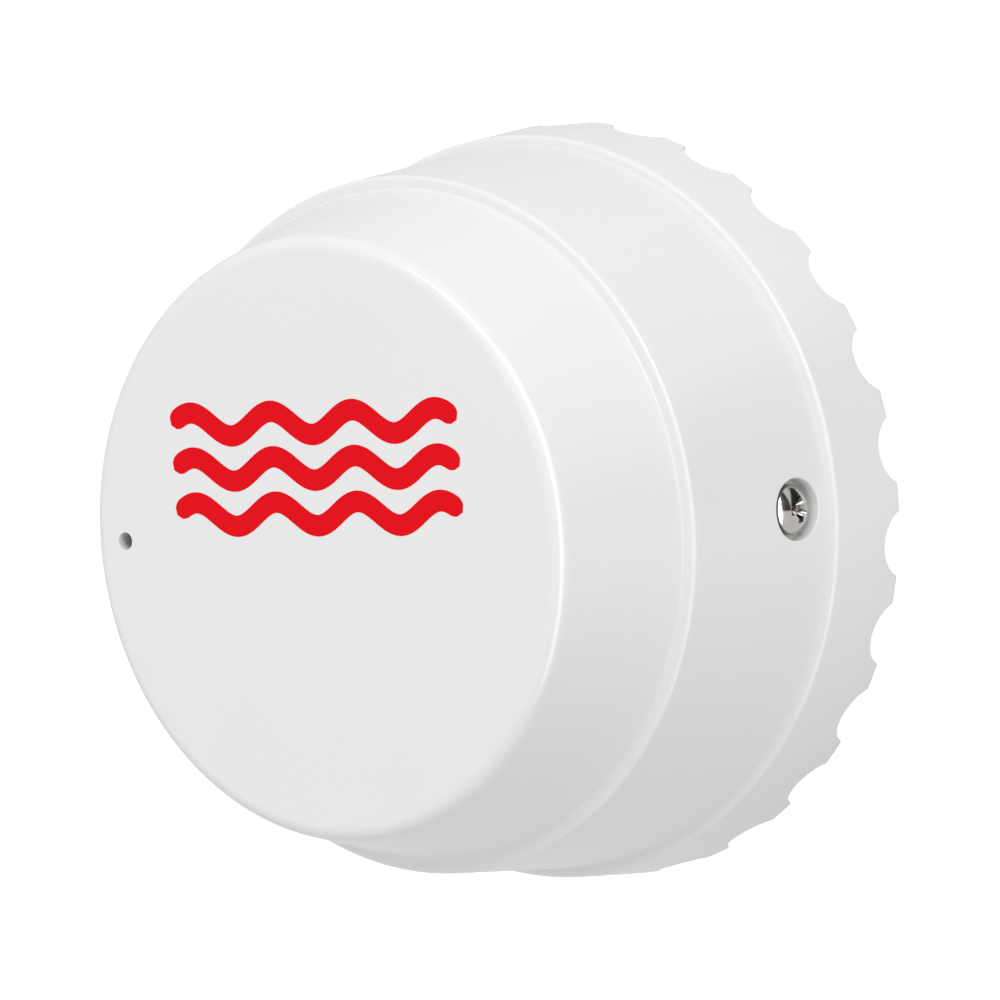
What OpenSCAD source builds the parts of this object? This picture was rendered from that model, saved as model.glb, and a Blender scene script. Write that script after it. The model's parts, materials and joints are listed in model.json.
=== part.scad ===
// Round floor-standing water leak sensor: a stepped dome cover screwed from the side onto a
// base whose rim is scalloped to let water in to two probes under the floor.
// Millimetres. Origin at the centre of the foot circle, +Z up through the front face,
// +X through the right-hand side screw, -X through the indicator pinhole.

/* [Outer shape] */
// Overall height, floor to front face
height = 36.6; // [36:0.2:42]
// Height of the scalloped base, floor to lower ledge
base_h = 8.1; // [7.6:0.1:9]
// Height of the cover's wide tier, ledge to ledge
tier_h = 16.4; // [16:0.1:17.2]
// How far the base leans in over its height, on the radius
base_lean = 0.8; // [0.3:0.1:1.4]
// How far the wide tier leans in over its height, on the radius
tier_lean = 1.8; // [1:0.1:2.2]
// How far the front tier leans in over its height, on the radius
front_lean = 3.4; // [3:0.1:3.8]
// Radial width of the lower ledge
ledge_w = 0.8; // [0.5:0.1:1.2]
// Radial width of the upper ledge
front_ledge_w = 1.1; // [0.8:0.1:1.3]
// Rounding of the front face's rim
face_round = 1.4; // [1:0.1:2.8]
// Rounding of the ledges' outer edges
ledge_round = 0.25; // [0.15:0.05:0.5]

/* [Shells] */
// Wall of the cover
wall = 2.6; // [2.4:0.1:2.8]
// Wall of the base's foot rim
rim_t = 2.8; // [2.4:0.1:3.4]
// Thickness of the base's floor
floor_t = 2; // [1.6:0.1:2.6]
// Height of the floor's underside above the ground
floor_gap = 2.6; // [2.4:0.1:3]
// Height of the collar that the cover slips over, above the lower ledge
collar_h = 8.9; // [8:0.1:9.6]
// Wall of the collar at its top
collar_t = 1.5; // [1.2:0.1:1.7]
// Gap between collar and cover
fit_gap = 0.15; // [0.1:0.05:0.3]

/* [Water inlets] */
// Number of scallops round the foot rim
notch_count = 26; // [18:2:28]
// Radius of a scallop
notch_r = 3; // [2.4:0.1:3.2]
// Height of a scallop above the ground
notch_h = 1.85; // [1.2:0.05:2.2]

/* [Side screws] */
// Height of the screws' axis above the lower ledge
screw_rise = 3.7; // [3.6:0.1:4.4]
// Diameter of the screw's head
screw_head_d = 4.2; // [3.6:0.1:4.6]
// Height of the screw's domed head
screw_head_h = 1.35; // [1.1:0.05:1.5]
// Diameter of the screw's shank
screw_d = 2.2; // [1.8:0.1:2.5]
// Length of the screw under its head
screw_len = 6.5; // [5:0.5:7]
// Diameter of the recess that the head sinks into
recess_d = 5.2; // [5:0.1:5.6]
// Depth of that recess
recess_h = 1.35; // [1.2:0.05:1.6]
// Thickness of the sealing washer under the head
washer_t = 0.35; // [0.2:0.05:0.4]

/* [Indicator] */
// Diameter of the pinhole in the front face
pinhole_d = 1.5; // [1:0.1:2]
// Distance of the pinhole's axis from the edge of the face
pinhole_inset = 3.3; // [3.2:0.1:6]
// Diameter of the lamp behind it
led_d = 3; // [2.5:0.1:3.2]

/* [Probes] */
// Gap between a probe's pillar and the screw boss beside it
probe_gap = 2.3; // [0.5:0.1:3]
// Diameter of a probe's head
probe_head_d = 5.6; // [5:0.1:6]
// Height of a probe's head
probe_head_h = 2.1; // [1.6:0.1:2.2]
// Diameter of a probe's shank
probe_d = 3; // [2.5:0.1:3]
// Diameter of the pillar that a probe screws into
pillar_d = 5.6; // [5:0.1:6]

/* [Power] */
// Diameter of a cell
cell_d = 10.5; // [10:0.1:10.5]
// Length of a cell with its positive nub
cell_len = 44.5; // [42:0.1:44.5]
// Length of a contact spring with the cell in place
spring_len = 2.6; // [2.4:0.1:3]
// Thickness of the contact plates
plate_t = 0.4; // [0.3:0.05:0.5]
// Thickness of the tray's end walls, at the middle
tray_end_t = 2.02; // [1.6:0.01:4]

/* [Board] */
// Thickness of the circuit board
board_t = 1.6; // [1:0.2:2]
// Gap between the tray's end walls and the board
board_gap = 2.1; // [1:0.1:3]
// Distance of the posts from the board's edge
post_inset = 4.1; // [3.5:0.1:5]
// Diameter of the board's posts
post_d = 5; // [4.5:0.1:5.4]
// Height of the indicator lamp above its flange
led_h = 5.1; // [4.5:0.1:6]
// Diameter of the sounder
sounder_d = 12; // [9:0.5:14]
// Height of the sounder
sounder_h = 8; // [5:0.5:9]
// Diameter of the spring antenna over its middle line
antenna_d = 4.8; // [4:0.1:5.2]
// Diameter of the antenna's wire
antenna_wire = 0.8; // [0.6:0.05:0.9]
// Diameter of the reservoir capacitor
capacitor_d = 6.3; // [5:0.1:8]
// Height of the reservoir capacitor
capacitor_h = 7.7; // [5:0.1:9]
// Travel of the pairing button
button_travel = 0.25; // [0.2:0.05:0.3]

/* [Hidden] */
$fn = 96;
eps = 0.01;
// How far a cut runs past the face that it opens
over = 1;
// Small moulded edges
edge = 0.2;
foot_edge = 0.3;
ledge_fillet = 0.15;
inner_edge = 0.5;

// Clearances
loose = 0.2;
seat_gap = 0.06;
slip = 0.05;

// Levels, from the floor up
ledge_z = base_h;
front_z = base_h + tier_h;
floor_z = floor_gap + floor_t;
collar_z = ledge_z + collar_h;
screw_z = ledge_z + screw_rise;
face_in_z = height - wall;

// Cells lie along Y, side by side, in a tray on the base's floor
bay_clear = 0.2;
cell_x = cell_d / 2 + bay_clear;
tray_floor = 1.2;
tray_side_t = 1.2;
cell_z = floor_z + tray_floor + bay_clear + cell_d / 2;
bay_half = (cell_len + spring_len) / 2 + plate_t;
tray_r = bay_half + tray_end_t;
tray_half_w = 2 * cell_x + tray_side_t;
tray_rise = 0.6;
tray_top = cell_z + tray_rise;
end_wall_rise = 0.4;
end_wall_top = cell_z + cell_d / 2 + end_wall_rise;
nub_d = 3.8;
nub_h = 0.8;
plate_w = 6;
plate_low = floor_z + tray_floor;
tab_w = 2;
spring_foot_r = 3.2;
spring_tip_r = 1.6;
spring_wire = 0.5;

// Radii, from the tray outwards to the foot rim
collar_in_r = tray_r + loose;
collar_top_r = collar_in_r + collar_t;
tier_root_r = collar_top_r + fit_gap + wall + tier_lean * collar_h / tier_h;
tier_top_r = tier_root_r - tier_lean;
front_root_r = tier_top_r - front_ledge_w;
front_top_r = front_root_r - front_lean;
shoulder_r = tier_root_r + ledge_w;
base_r = shoulder_r + base_lean;

function lerp(a, b, t) = a + (b - a) * t;
function tier_r(z) = lerp(tier_root_r, tier_top_r, (z - ledge_z) / tier_h);
function front_r(z) = lerp(front_root_r, front_top_r, (z - front_z) / (height - front_z));
function cover_in_r(z) = tier_r(z) - wall;
function collar_r(z) = cover_in_r(z) - fit_gap;

// Cover seal, a round ring in a groove of the collar
seal_d = 1.4;
seal_rise = 1.4;
seal_z = ledge_z + seal_rise;
seal_r = cover_in_r(seal_z) - seat_gap - seal_d / 2;
groove_h = seal_d + 2 * seat_gap;

// Side screw seats, measured along X
screw_face_x = tier_r(screw_z);
recess_floor_x = screw_face_x - recess_h;
screw_seat_x = recess_floor_x + washer_t;
screw_tip_x = screw_seat_x - screw_len;
boss_w = 6.4;
boss_floor = 0.8;
boss_in_x = screw_tip_x - boss_floor;
boss_top = screw_z + boss_w / 2;

// Probes
probe_x = boss_in_x - probe_gap - pillar_d / 2;
probe_seal_t = 0.6;
probe_bite = 9;
pillar_pin_d = 2.4;
pillar_pin_out = 0.6;

// Board
board_z = end_wall_top + board_gap;
board_lift = board_z - floor_z;
board_top = board_z + board_t;
board_edge = 0.8;
board_r = collar_in_r - board_edge;
post_turn = 39.3;
post_x = (board_r - post_inset) * cos(post_turn);
post_y = (board_r - post_inset) * sin(post_turn);
post_screw_d = 1.8;
post_screw_len = 6;

// Indicator lamp behind the pinhole
pinhole_x = front_top_r - pinhole_inset;
led_gap = 0.4;
led_flange_h = 1;
led_flange_w = 0.4;
led_tip_z = face_in_z - led_gap;
led_flange_z = led_tip_z - led_h;
lead_pitch = 2.54;
lead_d = 0.6;
lead_out = 1;

// Places and sizes of what stands on the board
sounder_at = [0, -14];
sounder_port_d = 2;
sounder_port_h = 1.5;
radio_at = [0, 13];
radio_size = [18, 13, 0.8];
shield_size = [11, 10, 2];
shield_inset = 1;
antenna_at = [12, 4.5];
antenna_gap = 2.4;
chip_at = [2, 0];
chip_size = [10, 4, 1.6];
chip_lift = 0.1;
chip_leg = [0.4, 6, 0.3];
chip_pitch = 1.27;
capacitor_at = [11, -5];

// Pairing switch, a tact switch with a round plunger
switch_at = [-9, -3];
switch_w = 6;
switch_h = 3.5;
button_d = 3.4;
button_h = 2.9;
button_sunk = 1.6;

// Shape helpers

function unit(v) = v / norm(v);
// Points of the arc that rounds corner b, between neighbours a and c
function corner(a, b, c, r) =
    let(u = unit(a - b), w = unit(c - b), half = acos(u * w) / 2,
        mid = b + unit(u + w) * r / sin(half),
        p = b + u * r / tan(half), q = b + w * r / tan(half),
        a0 = atan2(p[1] - mid[1], p[0] - mid[0]),
        a1 = atan2(q[1] - mid[1], q[0] - mid[0]),
        turn = (a1 - a0 + 540) % 360 - 180,
        steps = max(4, ceil(abs(turn) / 9)))
    [for (i = [0:steps]) mid + r * [cos(a0 + turn * i / steps), sin(a0 + turn * i / steps)]];
// Outline through points [x, y, rounding radius]
function rounded(pts) =
    let(n = len(pts), at = [for (p = pts) [p[0], p[1]]])
    [for (i = [0:n - 1])
        each pts[i][2] > 0
            ? corner(at[(i + n - 1) % n], at[i], at[(i + 1) % n], pts[i][2])
            : [at[i]]];

// A tube wound on a cone: radius r0 at the foot to r1 at the top
module coil(r0, r1, rise, turns, wire_d) {
    sides = 6;
    per_turn = 12;
    last = turns * per_turn;
    function ring(i) =
        let(t = i / last, a = 360 * turns * t, r = lerp(r0, r1, t))
        [for (k = [0:sides - 1])
            let(b = 360 * k / sides, out = r + wire_d / 2 * cos(b))
            [out * cos(a), out * sin(a), rise * t + wire_d / 2 * sin(b)]];
    points = [for (i = [0:last]) each ring(i)];
    walls = [for (i = [0:last - 1], k = [0:sides - 1])
        let(n = (k + 1) % sides, p = i * sides, q = p + sides)
        each [[p + k, q + k, q + n], [p + k, q + n, p + n]]];
    foot = [for (k = [1:sides - 2]) [0, k, k + 1]];
    top = [for (k = [1:sides - 2]) [last * sides, last * sides + k + 1, last * sides + k]];
    polyhedron(points, concat(walls, foot, top), convexity = 8);
}

// Cross recess of a screw head, its mouth at z = 0
module cross_recess(span, blade, depth) {
    blade_depth = depth * 0.7;
    tip_d = blade * 0.7;
    mouth_d = span * 0.62;
    for (turn = [0, 90])
        rotate([0, 0, turn])
            translate([-span / 2, -blade / 2, -blade_depth])
                cube([span, blade, depth]);
    translate([0, 0, -depth])
        cylinder(d1 = tip_d, d2 = mouth_d, h = depth + eps);
}

// Domed cross-head screw: seat at z = 0, head above, plain shank below
module screw(head_d, head_h, shank_d, length) {
    edge_h = head_h * 0.3;
    dome_h = head_h - edge_h;
    tip_d = shank_d * 0.3;
    tip_h = shank_d / 2;
    cross_span = head_d * 0.6;
    cross_blade = head_d * 0.16;
    cross_depth = head_h * 0.85;
    dome_r = (head_d * head_d / 4 + dome_h * dome_h) / (2 * dome_h);
    difference() {
        intersection() {
            cylinder(d = head_d, h = head_h);
            translate([0, 0, head_h - dome_r]) sphere(r = dome_r);
        }
        translate([0, 0, head_h]) cross_recess(cross_span, cross_blade, cross_depth);
    }
    translate([0, 0, tip_h - length]) cylinder(d = shank_d, h = length - tip_h + eps);
    translate([0, 0, -length]) cylinder(d1 = tip_d, d2 = shank_d, h = tip_h + eps);
}

module both_sides() {
    children();
    rotate([0, 0, 180]) children();
}

module at_posts() {
    for (sx = [-1, 1], sy = [-1, 1]) translate([sx * post_x, sy * post_y, 0]) children();
}

module at_probes() {
    for (sx = [-1, 1]) translate([sx * probe_x, 0, 0]) children();
}

module at_leads() {
    for (sy = [-1, 1]) translate([-pinhole_x, sy * lead_pitch / 2, 0]) children();
}

// Lays a shape made along +Z down along +X at the screws' height, from x = 0
module along_screw() {
    translate([0, 0, screw_z]) rotate([0, 90, 0]) children();
}

// Outer shells

module cover_outline() {
    polygon(rounded([
        [0, ledge_z, 0],
        [tier_root_r, ledge_z, edge],
        [tier_top_r, front_z, ledge_round],
        [front_root_r, front_z, ledge_fillet],
        [front_top_r, height, face_round],
        [0, height, 0]
    ]));
}

module cover_hollow() {
    in_ledge_z = front_z - wall;
    polygon(rounded([
        [0, ledge_z - over, 0],
        [cover_in_r(ledge_z - over), ledge_z - over, 0],
        [cover_in_r(in_ledge_z), in_ledge_z, inner_edge],
        [front_root_r - wall, in_ledge_z + front_ledge_w, inner_edge],
        [front_r(face_in_z) - wall, face_in_z, 2 * inner_edge],
        [0, face_in_z, 0]
    ]));
}

module top_cover() {
    color("whitesmoke")
    difference() {
        rotate_extrude() cover_outline();
        rotate_extrude() cover_hollow();
        translate([-pinhole_x, 0, face_in_z - over]) cylinder(d = pinhole_d, h = wall + 2 * over);
        both_sides() along_screw() {
            cylinder(d = screw_d + 2 * loose, h = base_r);
            translate([0, 0, recess_floor_x]) cylinder(d = recess_d, h = wall + over);
        }
    }
}

// Cross-section of the base: foot rim, floor, shoulder and collar
module base_outline() {
    foot_r = base_r - rim_t;
    polygon(rounded([
        [0, floor_gap, 0],
        [foot_r, floor_gap, inner_edge],
        [foot_r, 0, edge],
        [base_r, 0, foot_edge],
        [shoulder_r, ledge_z, ledge_round],
        [collar_r(ledge_z), ledge_z, 0],
        [collar_r(collar_z), collar_z, 2 * edge],
        [collar_in_r, collar_z, 2 * edge],
        [collar_in_r, floor_z, inner_edge],
        [0, floor_z, 0]
    ]));
}

module seal_groove() {
    groove_r = seal_r - seal_d / 2 - seat_gap;
    rotate_extrude()
        translate([groove_r, seal_z - groove_h / 2]) square([wall, groove_h]);
}

// Scallops: round bites through the foot rim, with a land on each screw's side
module water_inlets() {
    for (i = [0:notch_count - 1])
        rotate([0, 0, (i + 0.5) * 360 / notch_count])
            translate([base_r - rim_t - over, 0, notch_h - notch_r])
                rotate([0, 90, 0]) cylinder(r = notch_r, h = rim_t + 2 * over);
}

// Blocks inside the collar that the side screws bite into
module screw_bosses() {
    both_sides()
        translate([boss_in_x, -boss_w / 2, floor_z - eps])
            cube([collar_in_r - boss_in_x + collar_t / 2, boss_w, boss_top - floor_z]);
}

module base() {
    color("whitesmoke")
    difference() {
        union() {
            rotate_extrude() base_outline();
            screw_bosses();
            at_posts() translate([0, 0, floor_z - eps]) cylinder(d = post_d, h = board_lift + eps);
        }
        water_inlets();
        seal_groove();
        both_sides() along_screw()
            translate([0, 0, screw_tip_x - loose]) cylinder(d = screw_d + 2 * slip, h = base_r);
        at_probes() {
            cylinder(d = probe_d + loose, h = floor_z + over);
            translate([0, 0, floor_z - probe_seal_t]) cylinder(d = pillar_d + loose, h = floor_t);
        }
        at_posts()
            translate([0, 0, board_z - post_screw_len])
                cylinder(d = post_screw_d + loose, h = post_screw_len + over);
    }
}

module cover_seal() {
    color("dimgray") rotate_extrude() translate([seal_r, seal_z]) circle(d = seal_d);
}

// Side screws and their sealing washers

module side_screw() {
    along_screw() translate([0, 0, screw_seat_x])
        screw(screw_head_d, screw_head_h, screw_d, screw_len);
}

module side_screw_right() {
    color("silver") side_screw();
}

module side_screw_left() {
    color("silver") rotate([0, 0, 180]) side_screw();
}

module screw_seals() {
    color("dimgray") both_sides() along_screw() translate([0, 0, recess_floor_x])
        difference() {
            cylinder(d = screw_head_d, h = washer_t);
            translate([0, 0, -over]) cylinder(d = screw_d + 2 * slip, h = washer_t + 2 * over);
        }
}

// Probes: stainless screws under the floor, sealed, screwed into brass pillars of the board

module probe_screws() {
    color("silver") at_probes() translate([0, 0, floor_gap]) mirror([0, 0, 1])
        screw(probe_head_d, probe_head_h, probe_d, floor_t + probe_bite);
}

module probe_seals() {
    color("dimgray") at_probes() translate([0, 0, floor_z - probe_seal_t])
        difference() {
            cylinder(d = pillar_d, h = probe_seal_t);
            translate([0, 0, -over]) cylinder(d = probe_d + loose, h = probe_seal_t + 2 * over);
        }
}

module probe_pillars() {
    color("goldenrod") at_probes() translate([0, 0, floor_z])
        difference() {
            union() {
                cylinder(d = pillar_d, h = board_lift);
                cylinder(d = pillar_pin_d, h = board_lift + board_t + pillar_pin_out);
            }
            translate([0, 0, -over]) cylinder(d = probe_d + 2 * slip, h = probe_bite + 2 * over);
        }
}

// Cells, tray and contacts

module battery_tray() {
    ear_t = 1.8;
    ear_rim = 1.5;
    ear_w = post_d + 2 * ear_rim;
    slot = 2;
    color("gainsboro")
    difference() {
        intersection() {
            union() {
                translate([-tray_half_w, -tray_r, floor_z])
                    cube([2 * tray_half_w, 2 * tray_r, tray_top - floor_z]);
                both_sides() translate([-tray_half_w, bay_half, floor_z])
                    cube([2 * tray_half_w, tray_r - bay_half, end_wall_top - floor_z]);
                both_sides() translate([-post_x, post_y - ear_w / 2, floor_z])
                    cube([2 * post_x, ear_w, ear_t]);
                at_posts() translate([0, 0, floor_z]) cylinder(d = ear_w, h = ear_t);
            }
            cylinder(r = tray_r, h = height);
        }
        for (sx = [-1, 1])
            translate([sx * cell_x, -bay_half, cell_z])
                rotate([-90, 0, 0]) cylinder(d = cell_d + 2 * bay_clear, h = 2 * bay_half);
        translate([tray_side_t - tray_half_w, -bay_half, cell_z])
            cube([2 * (tray_half_w - tray_side_t), 2 * bay_half, cell_d]);
        both_sides() for (sx = [-1, 1])
            translate([sx * cell_x - plate_w / 2 - loose, bay_half - slot, plate_low])
                cube([plate_w + 2 * loose, slot, cell_d]);
        at_posts() cylinder(d = post_d + loose, h = board_z);
        at_probes() cylinder(d = pillar_d + 2 * loose, h = board_z);
    }
}

// A cell lying along +Y, its positive nub at the far end
module cell() {
    body = cell_len - nub_h;
    rotate([-90, 0, 0]) rotate_extrude() polygon(rounded([
        [0, 0, 0],
        [cell_d / 2, 0, inner_edge],
        [cell_d / 2, body, inner_edge],
        [nub_d / 2, body, edge],
        [nub_d / 2, cell_len, edge],
        [0, cell_len, 0]
    ]));
}

module left_cell_place() {
    translate([-cell_x, -cell_len / 2 + spring_len / 2, cell_z]) children();
}

module battery_left() {
    color("slategray") left_cell_place() cell();
}

module battery_right() {
    color("slategray") rotate([0, 0, 180]) left_cell_place() cell();
}

// Cone spring between the negative end of the left cell and its plate
module contact_spring() {
    rise = spring_len - spring_wire - 2 * seat_gap;
    translate([-cell_x, -bay_half + plate_t + spring_wire / 2 + seat_gap, cell_z])
        rotate([-90, 0, 0]) coil(spring_foot_r, spring_tip_r, rise, 3, spring_wire);
}

module contact_spring_left() {
    color("silver") contact_spring();
}

module contact_spring_right() {
    color("silver") rotate([0, 0, 180]) contact_spring();
}

// Flat contact against the tray's end wall at -Y, centred on x, with its tab up to the board
module plate(x, width) {
    translate([x - width / 2, -bay_half, plate_low])
        cube([width, plate_t, end_wall_top - plate_low]);
    translate([x - tab_w / 2, -bay_half, end_wall_top - eps])
        cube([tab_w, plate_t, board_z - end_wall_top + eps]);
}

module negative_terminal() {
    color("silver") plate(-cell_x, plate_w);
}

module positive_terminal() {
    color("silver") plate(cell_x, plate_w);
}

module series_link() {
    color("silver") rotate([0, 0, 180]) {
        plate(-cell_x, plate_w);
        plate(cell_x, plate_w);
        translate([-cell_x, -bay_half, end_wall_top - tab_w])
            cube([2 * cell_x, plate_t, tab_w]);
    }
}

// Circuit board and its parts

module main_board() {
    color("seagreen")
    translate([0, 0, board_z])
        difference() {
            cylinder(r = board_r, h = board_t);
            at_posts() translate([0, 0, -over]) cylinder(d = post_screw_d + 2 * loose, h = board_t + 2 * over);
            at_probes() translate([0, 0, -over]) cylinder(d = pillar_pin_d + loose, h = board_t + 2 * over);
            at_leads() translate([0, 0, -over]) cylinder(d = lead_d + loose, h = board_t + 2 * over);
        }
}

module board_screws() {
    color("silver") at_posts() translate([0, 0, board_top])
        screw(screw_head_d, screw_head_h, post_screw_d, post_screw_len);
}

module status_led() {
    dome_z = led_tip_z - led_d / 2;
    color("mistyrose") {
        translate([-pinhole_x, 0, led_flange_z]) {
            cylinder(d = led_d + 2 * led_flange_w, h = led_flange_h);
            cylinder(d = led_d, h = dome_z - led_flange_z);
        }
        translate([-pinhole_x, 0, dome_z]) sphere(d = led_d);
        at_leads() translate([0, 0, board_z - lead_out])
            cylinder(d = lead_d, h = led_flange_z - board_z + lead_out + eps);
    }
}

module led_spacer() {
    color("white") difference() {
        translate([-pinhole_x, 0, board_top])
            cylinder(d = led_d + 3 * led_flange_w, h = led_flange_z - board_top);
        at_leads() translate([0, 0, board_z]) cylinder(d = lead_d + loose, h = height);
    }
}

module sounder() {
    color("black") translate([sounder_at[0], sounder_at[1], board_top])
        difference() {
            rotate_extrude() polygon(rounded([
                [0, 0, 0],
                [sounder_d / 2, 0, 0],
                [sounder_d / 2, sounder_h, inner_edge],
                [0, sounder_h, 0]
            ]));
            translate([0, 0, sounder_h - sounder_port_h])
                cylinder(d = sounder_port_d, h = sounder_h);
        }
}

module radio_board() {
    color("darkgreen")
        translate([radio_at[0] - radio_size[0] / 2, radio_at[1] - radio_size[1] / 2, board_top])
            cube(radio_size);
}

module radio_shield() {
    x = radio_at[0] - radio_size[0] / 2 + shield_inset;
    color("silver")
        translate([x, radio_at[1] - shield_size[1] / 2, board_top + radio_size[2]])
            cube(shield_size);
}

module spring_antenna() {
    foot_z = board_top + antenna_wire / 2 + seat_gap;
    color("goldenrod") translate([antenna_at[0], antenna_at[1], foot_z])
        coil(antenna_d / 2, antenna_d / 2, face_in_z - antenna_gap - foot_z, 7, antenna_wire);
}

module controller_chip() {
    pins = 8;
    first_x = -(pins - 1) / 2 * chip_pitch - chip_leg[0] / 2;
    color("darkslategray") translate([chip_at[0], chip_at[1], board_top]) {
        translate([-chip_size[0] / 2, -chip_size[1] / 2, chip_lift]) cube(chip_size);
        for (i = [0:pins - 1])
            translate([first_x + i * chip_pitch, -chip_leg[1] / 2, 0]) cube(chip_leg);
    }
}

module reservoir_capacitor() {
    color("gray") translate([capacitor_at[0], capacitor_at[1], board_top])
        rotate_extrude() polygon(rounded([
            [0, 0, 0],
            [capacitor_d / 2, 0, foot_edge],
            [capacitor_d / 2, capacitor_h, inner_edge],
            [0, capacitor_h, 0]
        ]));
}

module pairing_switch() {
    color("dimgray") translate([switch_at[0], switch_at[1], board_top])
        difference() {
            translate([-switch_w / 2, -switch_w / 2, 0]) cube([switch_w, switch_w, switch_h]);
            translate([0, 0, switch_h - button_sunk - button_travel - loose])
                cylinder(d = button_d + 2 * slip, h = switch_h);
        }
}

module pairing_button() {
    color("black") translate([switch_at[0], switch_at[1], board_top + switch_h - button_sunk])
        cylinder(d = button_d, h = button_h);
}

top_cover();
base();
cover_seal();
side_screw_right();
side_screw_left();
screw_seals();
probe_screws();
probe_seals();
probe_pillars();
battery_tray();
battery_left();
battery_right();
contact_spring_left();
contact_spring_right();
series_link();
positive_terminal();
negative_terminal();
main_board();
board_screws();
status_led();
led_spacer();
sounder();
radio_board();
radio_shield();
spring_antenna();
controller_chip();
reservoir_capacitor();
pairing_switch();
pairing_button();
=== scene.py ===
import json
from math import acos, asin, atan2, ceil, cos, degrees, pi, radians, sin, sqrt, tan

import bmesh
import bpy
from mathutils import Matrix, Vector

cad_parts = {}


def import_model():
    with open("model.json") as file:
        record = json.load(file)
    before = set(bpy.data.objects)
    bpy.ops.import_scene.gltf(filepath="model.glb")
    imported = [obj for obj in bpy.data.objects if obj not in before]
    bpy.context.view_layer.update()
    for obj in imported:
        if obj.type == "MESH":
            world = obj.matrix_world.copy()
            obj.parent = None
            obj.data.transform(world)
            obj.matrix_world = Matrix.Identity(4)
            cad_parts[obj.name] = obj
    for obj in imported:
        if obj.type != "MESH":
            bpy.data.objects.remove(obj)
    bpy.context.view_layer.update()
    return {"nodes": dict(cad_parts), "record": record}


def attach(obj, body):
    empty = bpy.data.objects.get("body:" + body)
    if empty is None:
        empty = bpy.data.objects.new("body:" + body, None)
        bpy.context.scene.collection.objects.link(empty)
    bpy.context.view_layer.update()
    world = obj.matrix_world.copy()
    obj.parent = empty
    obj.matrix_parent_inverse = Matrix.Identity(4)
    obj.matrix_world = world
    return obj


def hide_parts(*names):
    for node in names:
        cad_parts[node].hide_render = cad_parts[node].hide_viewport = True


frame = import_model()

MM = 0.001

# Sizes in millimetres, as in the CAD source
BASE_R = 32.997
SHOULDER_R = 32.197
TIER_ROOT_R = 31.397
TIER_TOP_R = 29.597
FRONT_ROOT_R = 28.497
FRONT_TOP_R = 25.097
LEDGE_Z = 8.1
FRONT_Z = 24.5
HEIGHT = 36.6
WALL = 2.6
FACE_ROUND = 1.4
LEDGE_FILLET = 0.15
RIM_T = 2.8
FLOOR_GAP = 2.6
FLOOR_Z = 4.6
COLLAR_Z = 17.0
COLLAR_T = 1.5
FIT_GAP = 0.15
SEAL_Z = 9.5
SEAL_R = 27.883
GROOVE_H = 1.52
NOTCHES = 26
NOTCH_R = 3.0
NOTCH_H = 1.85
SCREW_Z = 11.8
SCREW_HEAD_D = 4.2
SCREW_HEAD_H = 1.35
SCREW_D = 2.2
SCREW_LEN = 6.5
RECESS_D = 5.2
RECESS_H = 1.35
WASHER_T = 0.35
BOSS_W = 6.4
BOSS_IN_X = 22.691
PINHOLE_X = 21.797
PINHOLE_D = 1.5
PROBE_X = 17.591
PROBE_HEAD_D = 5.6
PROBE_HEAD_H = 2.1
PROBE_D = 3.0
PROBE_LEN = 11.0
PILLAR_D = 5.6
PROBE_SEAL_T = 0.6
POST_X = 16.459
POST_Y = 13.472
POST_D = 5.0
POST_HOLE_D = 2.0
POST_HOLE_H = 6.0
BOARD_Z = 19.0

# Roundings in millimetres; the ledges' outer edges are softer than the CAD source's
EDGE_SOFT = 0.42
MOUTH_SOFT = 0.16
RECESS_FOOT = 0.08
NOTCH_SOFT = 0.22
RIM_SOFT = 0.22
FOOT_SOFT = 0.12
FLOOR_ROUND = 0.25
COLLAR_ROUND = 0.4
COLLAR_FILLET = 0.6
INNER_EDGE = 0.2
INNER_ROUND = 0.5
INNER_FACE_ROUND = 1.0

# Clearances and cuts in millimetres
SCREW_HOLE_GAP = 0.4
PILOT_GAP = 0.1
PROBE_GAP = 0.1
TIP_GAP = 0.2
CUT_LEN = 8.0
CUT_DEPTH = 1.0
PILOT_CUT_LEN = 10.0
PROBE_CUT_LOW = 1.0
PROBE_CUT_HIGH = 6.0
HOLE_OVERRUN = 1.0
SUNK = 0.3
INNER_RISE = 1.1

SHARP_ANGLE = radians(35)


def tier_r(z):
    return TIER_ROOT_R + (TIER_TOP_R - TIER_ROOT_R) * (z - LEDGE_Z) / (FRONT_Z - LEDGE_Z)


def front_r(z):
    return FRONT_ROOT_R + (FRONT_TOP_R - FRONT_ROOT_R) * (z - FRONT_Z) / (HEIGHT - FRONT_Z)


def skirt_r(z):
    return BASE_R + (SHOULDER_R - BASE_R) * z / LEDGE_Z


def collar_r(z):
    return tier_r(z) - WALL - FIT_GAP


SCREW_FACE_X = tier_r(SCREW_Z)
RECESS_FLOOR_X = SCREW_FACE_X - RECESS_H
SCREW_SEAT_X = RECESS_FLOOR_X + WASHER_T
COLLAR_IN_R = collar_r(COLLAR_Z) - COLLAR_T


# Outlines

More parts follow.
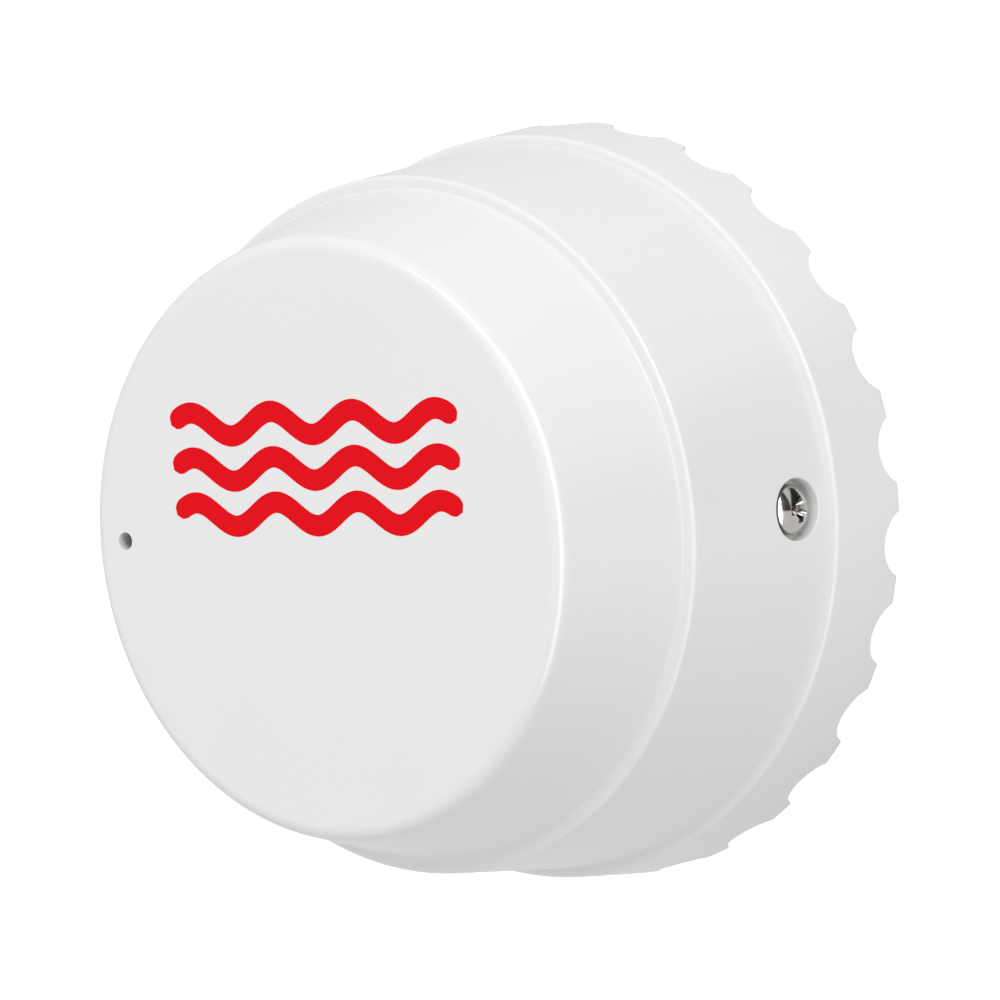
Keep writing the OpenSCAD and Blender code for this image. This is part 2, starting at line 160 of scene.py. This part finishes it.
def rounded(points, step=6.0, guard=0.12):
    """Outline through (x, y, radius) points, corners rounded, a guard point beside each end of an arc."""
    out = []
    for i, (x, y, r) in enumerate(points):
        b = Vector((x, y))
        if r <= 0 or i in (0, len(points) - 1):
            out.append((x, y))
            continue
        a, c = Vector(points[i - 1][:2]), Vector(points[i + 1][:2])
        u, w = (a - b).normalized(), (c - b).normalized()
        half = acos(max(-1.0, min(1.0, u.dot(w)))) / 2
        mid = b + (u + w).normalized() * (r / sin(half))
        p, q = b + u * (r / tan(half)), b + w * (r / tan(half))
        a0, a1 = atan2(p.y - mid.y, p.x - mid.x), atan2(q.y - mid.y, q.x - mid.x)
        turn = (a1 - a0 + 3 * pi) % (2 * pi) - pi
        n = max(3, ceil(abs(degrees(turn)) / step))
        if (a - p).length > 3 * guard:
            out.append(tuple(p + u * guard))
        for k in range(n + 1):
            angle = a0 + turn * k / n
            out.append((mid.x + r * cos(angle), mid.y + r * sin(angle)))
        if (c - q).length > 3 * guard:
            out.append(tuple(q + w * guard))
    return out


def split(rows, z_low, z_high, step):
    """Rows of a straight wall with even extra rows between two heights."""
    out = []
    for p, q in zip(rows, rows[1:]):
        out.append(p)
        low, high = min(p[1], q[1]), max(p[1], q[1])
        if low < z_low and high > z_high:
            n = round((z_high - z_low) / step)
            zs = [z_low + (z_high - z_low) * k / n for k in range(n + 1)]
            if q[1] < p[1]:
                zs.reverse()
            out += [(p[0] + (q[0] - p[0]) * (z - p[1]) / (q[1] - p[1]), z) for z in zs]
    return out + [rows[-1]]


# Meshes

def ring_faces(bm, a, b, closed=True, skip=None):
    """Quads (or triangles at a pole) between two rings of equal length."""
    n = len(a)
    for j in range(n if closed else n - 1):
        k = (j + 1) % n
        if skip and skip(j):
            continue
        quad = [a[j], a[k], b[k], b[j]]
        quad = [v for i, v in enumerate(quad) if v not in quad[:i]]
        if len(quad) > 2:
            bm.faces.new(quad)


def lathe(bm, rows, angles):
    rings = []
    for r, z in rows:
        if r < 1e-6:
            rings.append([bm.verts.new((0, 0, z * MM))] * len(angles))
        else:
            rings.append([bm.verts.new((r * cos(a) * MM, r * sin(a) * MM, z * MM)) for a in angles])
    return rings


def finish_mesh(bm, name, material):
    bmesh.ops.recalc_face_normals(bm, faces=bm.faces)
    mesh = bpy.data.meshes.new(name)
    bm.to_mesh(mesh)
    bm.free()
    mesh.shade_smooth()
    mesh.set_sharp_from_angle(angle=SHARP_ANGLE)
    obj = bpy.data.objects.new(name, mesh)
    bpy.context.scene.collection.objects.link(obj)
    mesh.materials.append(material)
    return obj


def cylinder(bm, d, depth, matrix, segments=48):
    bmesh.ops.create_cone(
        bm, cap_ends=True, segments=segments, radius1=d / 2 * MM, radius2=d / 2 * MM,
        depth=depth * MM, matrix=matrix,
    )


def at(x, y, z, turn=Matrix()):
    return Matrix.Translation(Vector((x, y, z)) * MM) @ turn


ALONG_X = Matrix.Rotation(pi / 2, 4, "Y")


def turned(bm, rows, x, y, columns=48):
    """A closed solid of revolution about the vertical through (x, y)."""
    rings = lathe(bm, rows, [2 * pi * j / columns for j in range(columns)])
    for a, b in zip(rings, rings[1:]):
        ring_faces(bm, a, b)
    bmesh.ops.translate(bm, verts=list({v for ring in rings for v in ring}), vec=Vector((x, y, 0)) * MM)


def boolean(obj, cutter_bm, operation, crossing=False):
    """Joins or cuts obj with the solids of a scratch mesh; crossing solids count as one."""
    bmesh.ops.recalc_face_normals(cutter_bm, faces=cutter_bm.faces)
    mesh = bpy.data.meshes.new("cutter")
    cutter_bm.to_mesh(mesh)
    cutter_bm.free()
    cutter = bpy.data.objects.new("cutter", mesh)
    bpy.context.scene.collection.objects.link(cutter)
    mod = obj.modifiers.new("cut", "BOOLEAN")
    mod.operation, mod.solver, mod.object = operation, "EXACT", cutter
    mod.use_self = crossing
    dg = bpy.context.evaluated_depsgraph_get()
    done = bpy.data.meshes.new_from_object(obj.evaluated_get(dg))
    obj.modifiers.remove(mod)
    old = obj.data
    done.name = obj.name
    obj.data = done
    bpy.data.meshes.remove(old)
    bpy.data.objects.remove(cutter)
    bpy.data.meshes.remove(mesh)
    done.shade_smooth()
    done.set_sharp_from_angle(angle=SHARP_ANGLE)


# Materials

def material(name, color, roughness, metallic=0.0, grain=900.0, depth=0.02, vary=0.04, ior=1.5, painted_crevice_shade=None):
    """A Principled material with fine procedural grain in colour, roughness and relief.

    The last argument (reach, low, high, shade, above) paints shade into the base colour: where ambient
    occlusion finds it hidden within reach, from high down to low, it is darkened towards shade, but only
    above that height.
    """
    mat = bpy.data.materials.new(name)
    mat.use_nodes = True
    tree = mat.node_tree
    nodes, links = tree.nodes, tree.links
    shader = nodes["Principled BSDF"]
    shader.inputs["Metallic"].default_value = metallic
    shader.inputs["IOR"].default_value = ior
    coords = nodes.new("ShaderNodeTexCoord")
    fine = nodes.new("ShaderNodeTexNoise")
    fine.inputs["Scale"].default_value = grain
    fine.inputs["Detail"].default_value = 4.0
    broad = nodes.new("ShaderNodeTexNoise")
    broad.inputs["Scale"].default_value = 45.0
    broad.inputs["Detail"].default_value = 3.0
    for noise in (fine, broad):
        links.new(coords.outputs["Object"], noise.inputs["Vector"])
    tint = nodes.new("ShaderNodeValToRGB")
    tint.color_ramp.elements[0].position = 0.3
    tint.color_ramp.elements[1].position = 0.7
    tint.color_ramp.elements[0].color = (*[c * (1 - vary) for c in color], 1)
    tint.color_ramp.elements[1].color = (*[min(1.0, c * (1 + vary)) for c in color], 1)
    links.new(broad.outputs["Fac"], tint.inputs["Fac"])
    # painted shade: ambient occlusion darkens the base colour in hollows and crevices, above a height
    if painted_crevice_shade:
        reach, low, high, shade, above = painted_crevice_shade
        hidden = nodes.new("ShaderNodeAmbientOcclusion")
        hidden.samples = 8
        hidden.inputs["Distance"].default_value = reach * MM
        open_to = nodes.new("ShaderNodeMapRange")
        open_to.inputs["From Min"].default_value = low
        open_to.inputs["From Max"].default_value = high
        open_to.inputs["To Min"].default_value = shade
        links.new(hidden.outputs["AO"], open_to.inputs["Value"])
        level = nodes.new("ShaderNodeSeparateXYZ")
        links.new(coords.outputs["Object"], level.inputs["Vector"])
        part = nodes.new("ShaderNodeMapRange")
        part.inputs["From Min"].default_value = above * MM
        part.inputs["From Max"].default_value = (above + 1) * MM
        part.inputs["To Min"].default_value = 1.0
        links.new(level.outputs["Z"], part.inputs["Value"])
        links.new(open_to.outputs["Result"], part.inputs["To Max"])
        scaled = nodes.new("ShaderNodeVectorMath")
        scaled.operation = "SCALE"
        links.new(tint.outputs["Color"], scaled.inputs[0])
        links.new(part.outputs["Result"], scaled.inputs["Scale"])
        links.new(scaled.outputs["Vector"], shader.inputs["Base Color"])
    else:
        links.new(tint.outputs["Color"], shader.inputs["Base Color"])
    rough = nodes.new("ShaderNodeMapRange")
    rough.inputs["To Min"].default_value = roughness * 0.85
    rough.inputs["To Max"].default_value = min(1.0, roughness * 1.15)
    links.new(fine.outputs["Fac"], rough.inputs["Value"])
    links.new(rough.outputs["Result"], shader.inputs["Roughness"])
    bump = nodes.new("ShaderNodeBump")
    bump.inputs["Strength"].default_value = 0.25
    bump.inputs["Distance"].default_value = depth * MM
    links.new(fine.outputs["Fac"], bump.inputs["Height"])
    links.new(bump.outputs["Normal"], shader.inputs["Normal"])
    return mat


# painted shade: the white shell's colour is darkened in hollows above 28 mm, such as the pinhole
WHITE = material("white_shell", (0.84, 0.84, 0.84), 0.24, grain=1400.0, depth=0.001, vary=0.006,
                 painted_crevice_shade=(1.6, 0.1, 0.4, 0.12, 28))
# painted shade: the steel's colour is darkened in hollows such as the cross recesses
STEEL = material("stainless", (0.62, 0.60, 0.58), 0.14, metallic=1.0, grain=3500.0, depth=0.003,
                 painted_crevice_shade=(0.8, 0.15, 0.7, 0.1, -10))
RUBBER = material("seal_rubber", (0.02, 0.02, 0.02), 0.7, grain=3000.0)
BRASS = material("brass", (0.78, 0.57, 0.22), 0.3, metallic=1.0, grain=3000.0)
TRAY = material("tray_plastic", (0.72, 0.72, 0.70), 0.5)
CELL = material("cell_can", (0.05, 0.07, 0.11), 0.35, metallic=0.3)
CONTACT = material("contact_steel", (0.66, 0.65, 0.62), 0.3, metallic=1.0)
BOARD = material("board_green", (0.01, 0.12, 0.04), 0.42)
LENS = material("led_lens", (0.55, 0.08, 0.05), 0.12)
BLACK = material("black_plastic", (0.012, 0.012, 0.012), 0.5)
CAN = material("capacitor_can", (0.55, 0.55, 0.57), 0.32, metallic=1.0)
PRINT = material("face_print", (0.80, 0.006, 0.012), 0.5, grain=2500.0, depth=0.003, vary=0.02, ior=1.1)

SLOTS = {
    "white_shell": WHITE, "stainless": STEEL, "seal_rubber": RUBBER, "brass": BRASS,
    "tray_plastic": TRAY, "cell_can": CELL, "contact_steel": CONTACT, "board_green": BOARD,
    "led_lens": LENS, "black_plastic": BLACK, "capacitor_can": CAN,
}
for entry in frame["record"]["subparts"]:
    node = frame["nodes"][entry["node"]]
    node.data.materials.clear()
    node.data.materials.append(SLOTS[entry["material_slot"]])


def place(obj, body, slot, *nodes):
    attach(obj, body)
    if nodes:
        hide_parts(*nodes)
    return obj


# Cover

COLUMNS = 360
ANGLES = [2 * pi * (j - COLUMNS / 4) / COLUMNS for j in range(COLUMNS)]
PATCH = 8
PATCH_HALF_H = 3.2
FACE_ROWS = (8.0, 16.0, 20.0)


def cover():
    in_z = FRONT_Z - WALL
    face_in = HEIGHT - WALL
    outer = rounded([
        (0, HEIGHT, 0),
        (FRONT_TOP_R, HEIGHT, FACE_ROUND),
        (FRONT_ROOT_R, FRONT_Z, LEDGE_FILLET),
        (TIER_TOP_R, FRONT_Z, EDGE_SOFT),
        (TIER_ROOT_R, LEDGE_Z, 0),
        (tier_r(LEDGE_Z) - WALL, LEDGE_Z, INNER_EDGE),
        (tier_r(in_z) - WALL, in_z, INNER_ROUND),
        (FRONT_ROOT_R - WALL, in_z + INNER_RISE, INNER_ROUND),
        (front_r(face_in) - WALL, face_in, INNER_FACE_ROUND),
        (0, face_in, 0),
    ])
    outer[1:1] = [(r, HEIGHT) for r in FACE_ROWS]
    low, high = SCREW_Z - PATCH_HALF_H, SCREW_Z + PATCH_HALF_H
    rows = split(outer, low, high, PATCH_HALF_H / PATCH)
    # only the outer wall's extra rows carry the screw recesses
    first = next(i for i, (r, z) in enumerate(rows) if abs(z - high) < 1e-6)
    last = first + 2 * PATCH
    bm = bmesh.new()
    rings = lathe(bm, rows, ANGLES)
    middles = [COLUMNS // 4, 3 * COLUMNS // 4]

    def in_patch(i, j):
        return first <= i < last and any(m - PATCH <= j < m + PATCH for m in middles)

    for i in range(len(rings) - 1):
        ring_faces(bm, rings[i], rings[i + 1], skip=lambda j: in_patch(i, j))
    for m in middles:
        recess(bm, rings, first, last, m, 1 if m == middles[0] else -1)
    obj = finish_mesh(bm, "cover_shell", WHITE)
    cut = bmesh.new()
    for side in (1, -1):
        through = at(side * (RECESS_FLOOR_X - CUT_DEPTH), 0, SCREW_Z, ALONG_X)
        cylinder(cut, SCREW_D + SCREW_HOLE_GAP, CUT_LEN, through)
    cylinder(cut, PINHOLE_D, CUT_LEN, at(-PINHOLE_X, 0, HEIGHT - CUT_DEPTH), segments=64)
    boolean(obj, cut, "DIFFERENCE")
    return place(obj, "housing", "white_shell", "top_cover")


def recess(bm, rings, first, last, middle, side):
    """Fills the gap left in the wall round a screw with rings that run into a soft-mouthed round recess."""
    left, right = middle - PATCH, middle + PATCH
    loop = [rings[first][j] for j in range(left, right)]
    loop += [rings[i][right] for i in range(first, last)]
    loop += [rings[last][j] for j in range(right, left, -1)]
    loop += [rings[i][left] for i in range(last, first, -1)]
    mouth = RECESS_D / 2
    edge = mouth + MOUTH_SOFT
    arc_steps = 5
    foot_row, hub_r = 0.2, 0.2

    def wall_x(y, z):
        return sqrt(tier_r(z) ** 2 - y * y)

    polar = []
    for v in loop:
        y, z = v.co.y / MM, v.co.z / MM - SCREW_Z
        polar.append((atan2(z, y), sqrt(y * y + z * z)))

    def ring(radius_of, drop):
        made = []
        for a, far in polar:
            r = radius_of(far)
            y, z = r * cos(a), SCREW_Z + r * sin(a)
            made.append(bm.verts.new((side * (wall_x(y, z) - drop) * MM, y * MM, z * MM)))
        return made

    levels = [loop]
    for share in (0.6, 0.3, 0.1, 0.0):
        levels.append(ring(lambda far: edge + (far - edge) * share, 0.0))
    for k in range(1, arc_steps + 1):
        bend = pi / 2 * k / arc_steps
        levels.append(ring(lambda far: edge - MOUTH_SOFT * sin(bend), MOUTH_SOFT * (1 - cos(bend))))

    def flat(radius, x):
        made = []
        for a, far in polar:
            z = SCREW_Z + radius * sin(a)
            made.append(bm.verts.new((side * x * MM, radius * cos(a) * MM, z * MM)))
        return made

    levels.append(flat(mouth, RECESS_FLOOR_X + foot_row))
    levels.append(flat(mouth, RECESS_FLOOR_X + RECESS_FOOT))
    levels.append(flat(mouth - RECESS_FOOT, RECESS_FLOOR_X))
    levels.append(flat(hub_r, RECESS_FLOOR_X))
    for a, b in zip(levels, levels[1:]):
        ring_faces(bm, a, b)
    bm.faces.new(levels[-1])


# Base

def notch_outline():
    """One scallop's bottom edge as (offset along the rim, height), land to land, corners softened."""
    period = 2 * pi * BASE_R / NOTCHES
    drop = NOTCH_R - NOTCH_H
    start = asin(drop / NOTCH_R)
    corner = radians(5.5)
    steps = 14
    arc = [start + corner + (pi - 2 * start - 2 * corner) * k / steps for k in range(steps + 1)]
    half = sqrt(NOTCH_R ** 2 - drop ** 2)
    points = [(period / 2, 0, 0), (half, 0, NOTCH_SOFT)]
    points += [(NOTCH_R * cos(a), NOTCH_R * sin(a) - drop, 0) for a in arc]
    points += [(-half, 0, NOTCH_SOFT), (-period / 2, 0, 0)]
    return rounded(points, step=16.0, guard=0.15)[:-1]


def base_rows(z):
    """The base's cross-section where its bottom edge is at height z."""
    foot = BASE_R - RIM_T
    groove_low, groove_high = SEAL_Z - GROOVE_H / 2, SEAL_Z + GROOVE_H / 2
    groove_r = SEAL_R - GROOVE_H / 2
    return rounded([
        (0, FLOOR_GAP, 0),
        (foot, FLOOR_GAP, FLOOR_ROUND),
        (foot, z, FOOT_SOFT),
        (skirt_r(z), z, RIM_SOFT),
        (SHOULDER_R, LEDGE_Z, EDGE_SOFT),
        (collar_r(LEDGE_Z), LEDGE_Z, 0),
        (collar_r(groove_low), groove_low, 0),
        (groove_r, groove_low, 0),
        (groove_r, groove_high, 0),
        (collar_r(groove_high), groove_high, 0),
        (collar_r(COLLAR_Z), COLLAR_Z, COLLAR_ROUND),
        (COLLAR_IN_R, COLLAR_Z, COLLAR_ROUND),
        (COLLAR_IN_R, FLOOR_Z, COLLAR_FILLET),
        (0, FLOOR_Z, 0),
    ], step=15.0, guard=0.03)


def base():
    bm = bmesh.new()
    columns = []
    for k in range(NOTCHES):
        mid = 2 * pi * (k + 0.5) / NOTCHES
        for s, z in reversed(notch_outline()):
            columns.append((mid + s / BASE_R, z))
    profiles = {}
    rings = None
    for a, z in columns:
        key = round(z, 5)
        if key not in profiles:
            profiles[key] = base_rows(max(z, 0.0))
        rows = profiles[key]
        if rings is None:
            rings = [[] for _ in rows]
            poles = {i: bm.verts.new((0, 0, rows[i][1] * MM)) for i in (0, len(rows) - 1)}
        for i, (r, h) in enumerate(rows):
            if i in poles:
                rings[i].append(poles[i])
            else:
                rings[i].append(bm.verts.new((r * cos(a) * MM, r * sin(a) * MM, h * MM)))
    for i in range(len(rings) - 1):
        ring_faces(bm, rings[i], rings[i + 1])
    obj = finish_mesh(bm, "base_shell", WHITE)
    posts = [(x, y) for x in (POST_X, -POST_X) for y in (POST_Y, -POST_Y)]
    added = bmesh.new()
    boss_len = COLLAR_IN_R + COLLAR_T / 2 - BOSS_IN_X
    boss_top = SCREW_Z + BOSS_W / 2
    boss_h = boss_top - FLOOR_Z + SUNK
    for side in (1, -1):
        block = at(side * (BOSS_IN_X + boss_len / 2), 0, boss_top - boss_h / 2)
        block = block @ Matrix.Diagonal((boss_len * MM, BOSS_W * MM, boss_h * MM, 1))
        bmesh.ops.create_cube(added, size=1.0, matrix=block)
    for x, y in posts:
        cylinder(added, POST_D, BOARD_Z - FLOOR_Z + SUNK, at(x, y, (BOARD_Z + FLOOR_Z - SUNK) / 2))
    boolean(obj, added, "UNION")
    cut = bmesh.new()
    tip_x = SCREW_SEAT_X - SCREW_LEN - TIP_GAP
    hole, seat = PROBE_D / 2 + PROBE_GAP, PILLAR_D / 2 + PROBE_GAP
    step = FLOOR_Z - PROBE_SEAL_T
    stepped_hole = [
        (0, PROBE_CUT_LOW), (hole, PROBE_CUT_LOW), (hole, step),
        (seat, step), (seat, PROBE_CUT_HIGH), (0, PROBE_CUT_HIGH),
    ]
    for side in (1, -1):
        pilot = at(side * (tip_x + PILOT_CUT_LEN / 2), 0, SCREW_Z, ALONG_X)
        cylinder(cut, SCREW_D + PILOT_GAP, PILOT_CUT_LEN, pilot)
        turned(cut, stepped_hole, side * PROBE_X, 0)
    for x, y in posts:
        middle = BOARD_Z + HOLE_OVERRUN / 2 - POST_HOLE_H / 2
        cylinder(cut, POST_HOLE_D, POST_HOLE_H + HOLE_OVERRUN, at(x, y, middle))
    boolean(obj, cut, "DIFFERENCE")
    return place(obj, "housing", "white_shell", "base")


cover()
base()


# Screws

def screw_solid(head_d, head_h, shank_d, length):
    """Domed cross-head screw along +Z: seat at z = 0, head above, threaded shank below."""
    rim_h = head_h * 0.3
    dome_r = (head_d ** 2 / 4 + (head_h - rim_h) ** 2) / (2 * (head_h - rim_h))
    pitch = shank_d * 0.32
    root = shank_d * 0.39
    tip_h = shank_d / 2
    columns = 48
    angles = [2 * pi * j / columns for j in range(columns)]
    bm = bmesh.new()
    crown = asin(head_d / 2 / dome_r)
    dome_steps = 12
    rim_soft, seat_soft = 0.14, 0.05
    rows = [(0, head_h)]
    for k in range(1, dome_steps):
        bend = crown * k / dome_steps
        rows.append((dome_r * sin(bend), head_h - dome_r * (1 - cos(bend))))
    rim = [rows[-1] + (0,), (head_d / 2, rim_h, rim_soft), (head_d / 2, 0, seat_soft), (root, 0, 0)]
    rows += rounded(rim, step=20.0)[1:]
    rings = lathe(bm, rows, angles)
    steps = ceil(length / pitch * 8)
    for k in range(1, steps):
        z = -length * k / steps
        taper = min(1.0, (length + z) / tip_h)
        ring = []
        for a in angles:
            phase = (z / pitch - a / (2 * pi)) % 1.0
            crest = max(0.0, 1 - abs(phase - 0.5) / 0.3) * min(1.0, -z / pitch)
            r = (root + (shank_d / 2 - root) * crest) * (0.3 + 0.7 * taper)
            ring.append(bm.verts.new((r * cos(a) * MM, r * sin(a) * MM, z * MM)))
        rings.append(ring)
    rings.append([bm.verts.new((0, 0, -length * MM))] * columns)
    for a, b in zip(rings, rings[1:]):
        ring_faces(bm, a, b)
    return bm


def cross_cutter(head_d, head_h, turn):
    """Tapered cross recess for that head: two blades and a cone."""
    bm = bmesh.new()
    depth, top = head_h * 0.85, head_h + 0.3
    bottom_end = (head_h - depth * 0.7, head_d * 0.2, head_d * 0.055)
    top_end = (top, head_d * 0.335, head_d * 0.1)
    corners = ((1, 1), (-1, 1), (-1, -1), (1, -1))
    for quarter in (0, pi / 2):
        spin = Matrix.Rotation(turn + quarter, 3, "Z")
        ends = []
        for z, length, width in (bottom_end, top_end):
            blade = [spin @ Vector((x * length, y * width, z)) for x, y in corners]
            ends.append([bm.verts.new(point * MM) for point in blade])
        ring_faces(bm, *ends)
        for end in ends:
            bm.faces.new(end)
    bmesh.ops.create_cone(
        bm, cap_ends=True, segments=24, radius1=head_d * 0.05 * MM, radius2=head_d * 0.2 * MM,
        depth=depth * MM, matrix=at(0, 0, head_h - depth / 2),
    )
    return bm


def screw(name, body, slot_node, places, sizes, turn):
    solid = bmesh.new()
    cutter = bmesh.new()
    for target, source in ((solid, screw_solid(*sizes)), (cutter, cross_cutter(sizes[0], sizes[1], turn))):
        mesh = bpy.data.meshes.new("copy")
        source.to_mesh(mesh)
        source.free()
        for place_at in places:
            mesh.transform(place_at)
            target.from_mesh(mesh)
            mesh.transform(place_at.inverted())
        bpy.data.meshes.remove(mesh)
    obj = finish_mesh(solid, name, STEEL)
    boolean(obj, cutter, "DIFFERENCE", crossing=True)
    return place(obj, body, "stainless", slot_node)


HALF_TURN = Matrix.Rotation(pi, 4, "Z")
SIDE_SIZES = (SCREW_HEAD_D, SCREW_HEAD_H, SCREW_D, SCREW_LEN)
RIGHT_SEAT = at(SCREW_SEAT_X, 0, SCREW_Z, ALONG_X)
DOWN = Matrix.Rotation(pi, 4, "X")
screw("right_screw_piece", "right_screw", "side_screw_right", [RIGHT_SEAT], SIDE_SIZES, radians(5))
screw("left_screw_piece", "left_screw", "side_screw_left", [HALF_TURN @ RIGHT_SEAT], SIDE_SIZES, radians(50))
screw(
    "probe_screw_pieces", "housing", "probe_screws",
    [at(side * PROBE_X, 0, FLOOR_GAP, DOWN) for side in (1, -1)],
    (PROBE_HEAD_D, PROBE_HEAD_H, PROBE_D, PROBE_LEN), radians(35),
)


# Print on the face: three wavy water lines

def face_print():
    bm = bmesh.new()
    width, thick, amp, waves = 31.0, 1.8, 1.0, 3.5
    centre_x, least_half, film = -0.2, 0.02, 0.02
    low, high = HEIGHT, HEIGHT + film
    steps = 140
    for y0 in (2.2, 6.0, 9.8):
        levels = []
        for k in range(steps + 1):
            t = k / steps
            x = centre_x + width * (t - 0.5)
            phase = 2 * pi * waves * t
            y = y0 + amp * sin(phase)
            slope = amp * cos(phase) * 2 * pi * waves / width
            n = Vector((-slope, 1)).normalized()
            end = min(t, 1 - t) * width
            half = thick / 2 * sqrt(max(0.0, 1 - max(0.0, 1 - end / (thick / 2)) ** 2))
            half = max(half, least_half)
            a = (x + n.x * half, y + n.y * half)
            b = (x - n.x * half, y - n.y * half)
            corners = ((a, low), (a, high), (b, high), (b, low))
            levels.append([bm.verts.new((p[0] * MM, p[1] * MM, h * MM)) for p, h in corners])
        for p, q in zip(levels, levels[1:]):
            ring_faces(bm, p, q)
        bm.faces.new(levels[0])
        bm.faces.new(levels[-1])
    return place(finish_mesh(bm, "face_print", PRINT), "housing", None)


face_print()


# Stage: floor, light and camera

def stage_floor():
    bm = bmesh.new()
    seen_level, dark_level = 0.75, 0.03
    patch_at, patch_reach = (0.085, 0.012, 0), (0.058, 0.014, 1)
    bmesh.ops.create_grid(bm, x_segments=1, y_segments=1, size=3.0)
    mesh = bpy.data.meshes.new("floor")
    bm.to_mesh(mesh)
    bm.free()
    obj = bpy.data.objects.new("floor", mesh)
    bpy.context.scene.collection.objects.link(obj)
    mat = bpy.data.materials.new("floor")
    mat.use_nodes = True
    nodes, links = mat.node_tree.nodes, mat.node_tree.links
    nodes.clear()
    out = nodes.new("ShaderNodeOutputMaterial")
    diffuse = nodes.new("ShaderNodeBsdfDiffuse")
    glow = nodes.new("ShaderNodeEmission")
    path = nodes.new("ShaderNodeLightPath")
    level = nodes.new("ShaderNodeMath")
    level.operation = "MULTIPLY"
    level.inputs[1].default_value = seen_level
    total = nodes.new("ShaderNodeAddShader")
    noise = nodes.new("ShaderNodeTexNoise")
    noise.inputs["Scale"].default_value = 30.0
    tint = nodes.new("ShaderNodeValToRGB")
    tint.color_ramp.elements[0].color = (0.65, 0.65, 0.65, 1)
    tint.color_ramp.elements[1].color = (0.67, 0.67, 0.67, 1)
    links.new(noise.outputs["Fac"], tint.inputs["Fac"])
    links.new(tint.outputs["Color"], diffuse.inputs["Color"])
    links.new(path.outputs["Is Camera Ray"], level.inputs[0])
    links.new(level.outputs["Value"], glow.inputs["Strength"])
    links.new(diffuse.outputs["BSDF"], total.inputs[0])
    links.new(glow.outputs["Emission"], total.inputs[1])
    # painted reflection: glossy rays see the floor as a glow, not its diffuse, and the glow is dark in an
    # oval patch beside the right-hand screw, which darkens that screw's reflection
    spot = nodes.new("ShaderNodeNewGeometry")
    near = nodes.new("ShaderNodeVectorMath")
    near.operation = "SUBTRACT"
    near.inputs[1].default_value = patch_at
    oval = nodes.new("ShaderNodeVectorMath")
    oval.operation = "DIVIDE"
    oval.inputs[1].default_value = patch_reach
    size = nodes.new("ShaderNodeVectorMath")
    size.operation = "LENGTH"
    far = nodes.new("ShaderNodeMapRange")
    far.inputs["From Min"].default_value = 0.85
    far.inputs["From Max"].default_value = 1.15
    far.inputs["To Min"].default_value = dark_level
    far.inputs["To Max"].default_value = seen_level
    painted_reflection = nodes.new("ShaderNodeEmission")
    choice = nodes.new("ShaderNodeMixShader")
    links.new(spot.outputs["Position"], near.inputs[0])
    links.new(near.outputs["Vector"], oval.inputs[0])
    links.new(oval.outputs["Vector"], size.inputs[0])
    links.new(size.outputs["Value"], far.inputs["Value"])
    links.new(far.outputs["Result"], painted_reflection.inputs["Strength"])
    links.new(path.outputs["Is Glossy Ray"], choice.inputs["Fac"])
    links.new(total.outputs["Shader"], choice.inputs[1])
    links.new(painted_reflection.outputs["Emission"], choice.inputs[2])
    links.new(choice.outputs["Shader"], out.inputs["Surface"])
    mesh.materials.append(mat)


def world(light):
    scene = bpy.context.scene
    sky = bpy.data.worlds.new("studio")
    scene.world = sky
    sky.use_nodes = True
    nodes, links = sky.node_tree.nodes, sky.node_tree.links
    back = nodes["Background"]
    back.inputs["Color"].default_value = (1, 1, 1, 1)
    path = nodes.new("ShaderNodeLightPath")
    seen = nodes.new("ShaderNodeMath")
    seen.operation = "MAXIMUM"
    level = nodes.new("ShaderNodeMapRange")
    level.inputs["To Min"].default_value = light
    level.inputs["To Max"].default_value = 1.0
    links.new(path.outputs["Is Camera Ray"], seen.inputs[0])
    links.new(path.outputs["Is Transmission Ray"], seen.inputs[1])
    links.new(seen.outputs["Value"], level.inputs["Value"])
    links.new(level.outputs["Result"], back.inputs["Strength"])


def lamp(name, where, along, length, width, power, gloss_only=False):
    """Rectangular softbox aimed at the object, its length along a level direction.

    With gloss_only it gives no diffuse light and shows in reflections alone.
    """
    data = bpy.data.lights.new(name, "AREA")
    data.shape = "RECTANGLE"
    data.size, data.size_y = length, width
    data.energy = power
    obj = bpy.data.objects.new(name, data)
    back = (Vector(where) - Vector((0, 0, 0.02))).normalized()
    across = Vector(along)
    across = (across - back * across.dot(back)).normalized()
    obj.matrix_world = Matrix((across, back.cross(across), back)).transposed().to_4x4()
    obj.location = where
    obj.visible_diffuse = not gloss_only
    bpy.context.scene.collection.objects.link(obj)


def flag():
    """Dark card that only reflections see, for contrast in the steel."""
    bm = bmesh.new()
    x, left, right, low, high = 0.2, -0.01, 0.45, 0.001, 0.11
    corners = ((left, low), (right, low), (right, high), (left, high))
    bm.faces.new([bm.verts.new((x, y, z)) for y, z in corners])
    obj = finish_mesh(bm, "flag", BLACK)
    obj.visible_camera = obj.visible_diffuse = obj.visible_shadow = obj.visible_transmission = False


def camera():
    turn = Matrix.Rotation(radians(-2.3), 3, "Z")
    right = turn @ Vector((0.7825, -0.0325, -0.6218))
    back = turn @ Vector((0.6218, 0.0928, 0.7776))
    back.normalize()
    right = (right - back * right.dot(back)).normalized()
    up = back.cross(right)
    data = bpy.data.cameras.new("camera")
    data.sensor_width = 36.0
    data.lens = 234.0
    data.clip_start, data.clip_end = 0.01, 10.0
    obj = bpy.data.objects.new("camera", data)
    m = Matrix((right, up, back)).transposed().to_4x4()
    m.translation = Vector((0.34884, 0.03893, 0.4466))
    obj.matrix_world = m
    bpy.context.scene.collection.objects.link(obj)
    bpy.context.scene.camera = obj


stage_floor()
world(light=0.76)
lamp("key", (0.297, 0.42, 0.403), along=(1, 0, 0), length=1.2, width=0.08, power=2.1)
lamp("edge_strip", (0.6, 0.0, 0.47), along=(0, 1, 0), length=1.6, width=0.3, power=6.0, gloss_only=True)
flag()
camera()
bpy.context.scene.view_settings.view_transform = "Standard"
